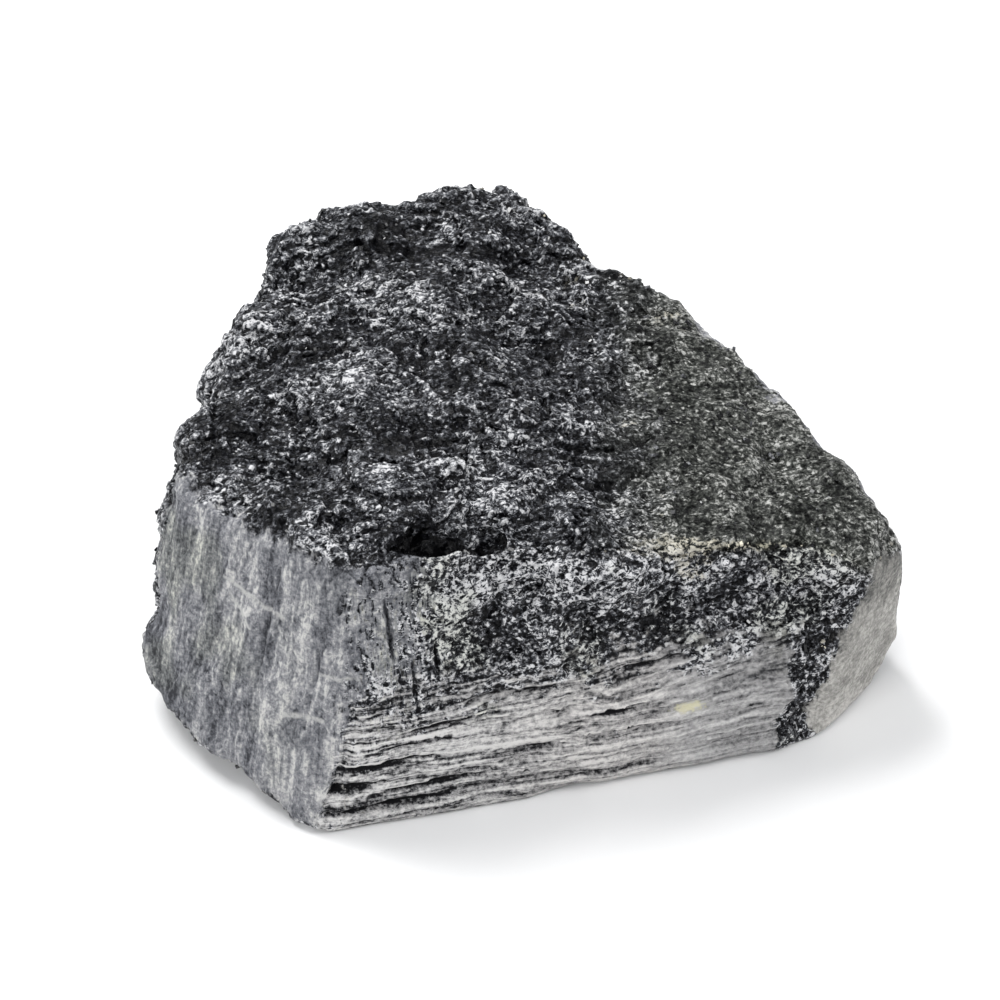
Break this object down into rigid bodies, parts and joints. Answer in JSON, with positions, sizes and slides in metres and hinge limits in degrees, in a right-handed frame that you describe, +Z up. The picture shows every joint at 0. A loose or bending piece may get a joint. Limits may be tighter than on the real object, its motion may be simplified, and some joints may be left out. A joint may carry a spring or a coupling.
{
  "type": "tourmaline crystal",
  "caption": "Rough black tourmaline crystal: a broken, striated prism block with a hackly top, dusty end face and pale facet, lying on a flat face.",
  "frame": {"origin": "middle of the resting face, under the middle of the block", "axes": "+X along the crystal's length, the way its striations run; +Y to the back; +Z up from the resting face"},
  "size_m": [0.048, 0.041, 0.0205],
  "materials": {
    "tourmaline": "vitreous black fracture with grey and beige dust on its outer faces"
  },
  "bodies": {
    "root": {"crystal": "tourmaline"}
  },
  "joints": []
}
